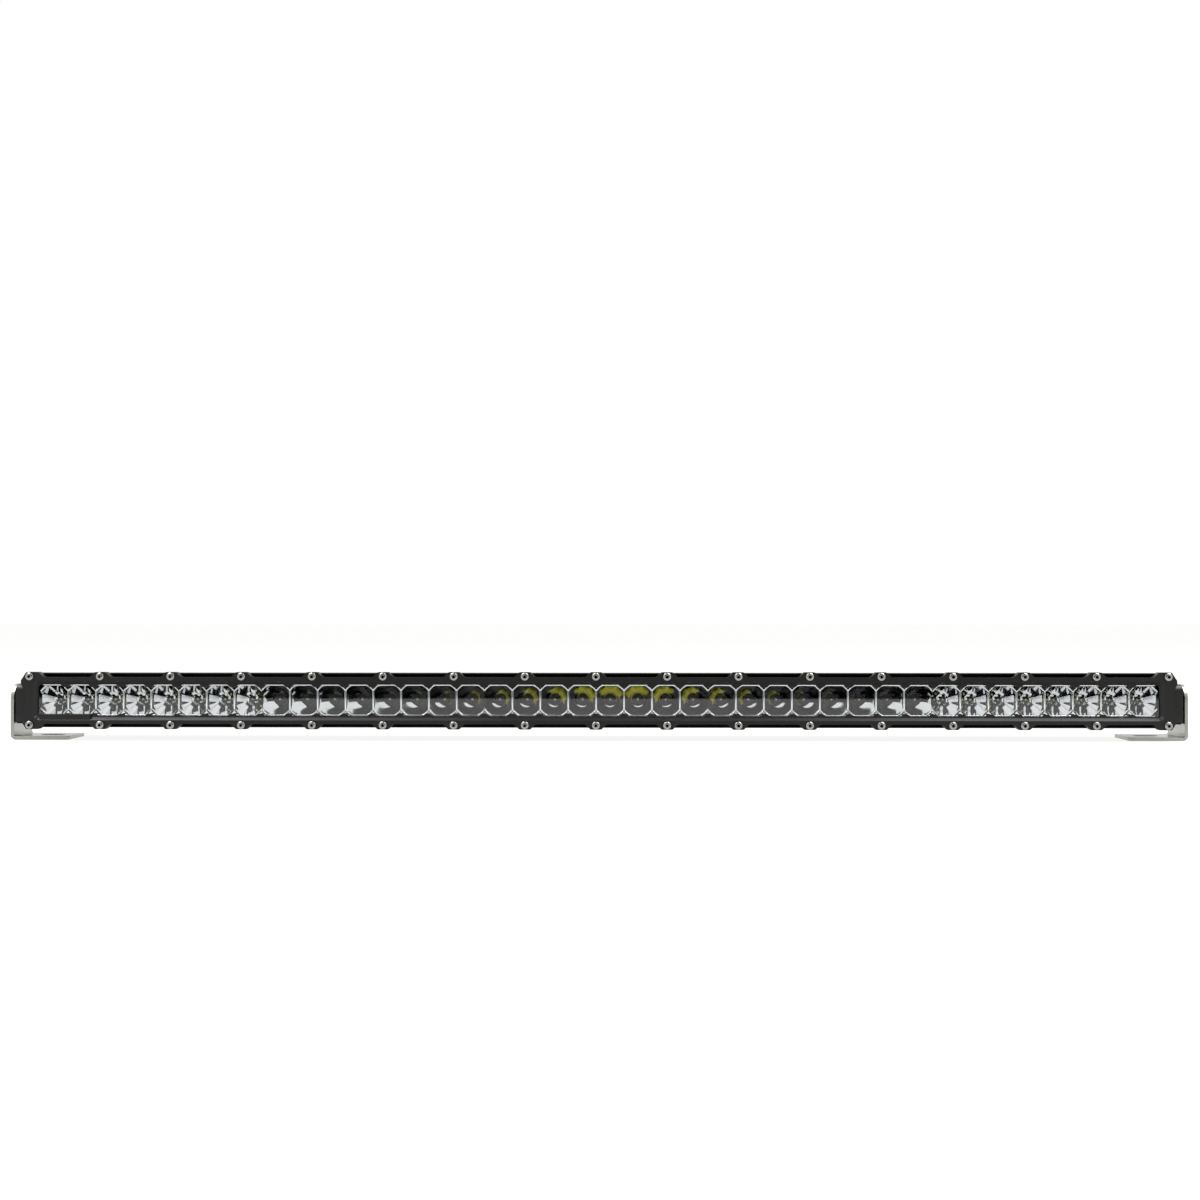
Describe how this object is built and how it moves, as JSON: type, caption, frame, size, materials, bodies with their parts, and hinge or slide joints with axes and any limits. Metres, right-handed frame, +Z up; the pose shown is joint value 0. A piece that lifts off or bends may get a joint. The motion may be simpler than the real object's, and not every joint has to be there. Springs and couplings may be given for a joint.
{
  "type": "led light bar",
  "caption": "Long single-row LED light bar with a scalloped screwed bezel, clear lens and chrome cups, tilting between two slotted L-shaped mounting brackets.",
  "frame": {"origin": "centre of the overall box, on the plane that the two bracket feet stand on", "axes": "+Z up, +X along the bar, the lamp faces -Y, rear fins and cable gland towards +Y"},
  "size_m": [1.0652, 0.0748, 0.0615],
  "materials": {
    "black_powder_coat": "black powder coat on extruded aluminium, fine satin texture",
    "black_die_cast": "black coated aluminium casting, satin",
    "clear_polycarbonate": "clear gloss polycarbonate",
    "reflector_chrome": "vacuum metallised mirror on a moulding",
    "black_solder_mask": "black solder mask",
    "green_solder_mask": "green solder mask",
    "stainless_steel": "bright stainless steel",
    "bracket_steel": "plain stainless plate, faint roll grain",
    "black_rubber": "matt black silicone rubber",
    "black_nylon": "matt black nylon"
  },
  "bodies": {
    "bracket_left": {"bracket_left": "bracket_steel"},
    "light_bar": {"housing": "black_powder_coat", "bezel": "black_die_cast", "bezel_screw_top_01": "stainless_steel", "bezel_screw_top_02": "stainless_steel", "bezel_screw_top_03": "stainless_steel", "bezel_screw_top_04": "stainless_steel", "bezel_screw_top_05": "stainless_steel", "bezel_screw_top_06": "stainless_steel", "bezel_screw_top_07": "stainless_steel", "bezel_screw_top_08": "stainless_steel", "bezel_screw_top_09": "stainless_steel", "bezel_screw_top_10": "stainless_steel", "bezel_screw_top_11": "stainless_steel", "bezel_screw_top_12": "stainless_steel", "bezel_screw_top_13": "stainless_steel", "bezel_screw_top_14": "stainless_steel", "bezel_screw_top_15": "stainless_steel", "bezel_screw_top_16": "stainless_steel", "bezel_screw_top_17": "stainless_steel", "bezel_screw_bottom_01": "stainless_steel", "bezel_screw_bottom_02": "stainless_steel", "bezel_screw_bottom_03": "stainless_steel", "bezel_screw_bottom_04": "stainless_steel", "bezel_screw_bottom_05": "stainless_steel", "bezel_screw_bottom_06": "stainless_steel", "bezel_screw_bottom_07": "stainless_steel", "bezel_screw_bottom_08": "stainless_steel", "bezel_screw_bottom_09": "stainless_steel", "bezel_screw_bottom_10": "stainless_steel", "bezel_screw_bottom_11": "stainless_steel", "bezel_screw_bottom_12": "stainless_steel", "bezel_screw_bottom_13": "stainless_steel", "bezel_screw_bottom_14": "stainless_steel", "bezel_screw_bottom_15": "stainless_steel", "bezel_screw_bottom_16": "stainless_steel", "bezel_screw_bottom_17": "stainless_steel", "lens": "clear_polycarbonate", "lens_gasket": "black_rubber", "reflector_flood_left": "reflector_chrome", "reflector_spot_left": "reflector_chrome", "reflector_spot_centre": "reflector_chrome", "reflector_spot_right": "reflector_chrome", "reflector_flood_right": "reflector_chrome", "led_board_left": "black_solder_mask", "led_board_right": "black_solder_mask", "driver_board": "green_solder_mask", "end_cap_left": "black_die_cast", "end_cap_right": "black_die_cast", "end_cap_gasket_left": "black_rubber", "end_cap_gasket_right": "black_rubber", "pivot_spacer_left": "stainless_steel", "pivot_spacer_right": "stainless_steel", "pivot_bolt_left": "stainless_steel", "pivot_bolt_right": "stainless_steel", "cable_gland": "black_nylon", "breather_vent": "black_nylon"},
    "bracket_right": {"bracket_right": "bracket_steel"}
  },
  "joints": [
    {"name": "bar_tilt", "type": "hinge", "parent": "bracket_left", "child": "light_bar", "pos_m": [-0.5268, -0.0009, 0.036], "axis": [1, 0, 0], "range_deg": [-15, 15]},
    {"name": "right_bracket_swivel", "type": "hinge", "parent": "light_bar", "child": "bracket_right", "pos_m": [0.5268, -0.0009, 0.036], "axis": [1, 0, 0], "range_deg": [-15, 15]}
  ],
  "couplings": [
    {"joint": "right_bracket_swivel", "follows": "bar_tilt", "ratio": -1}
  ]
}
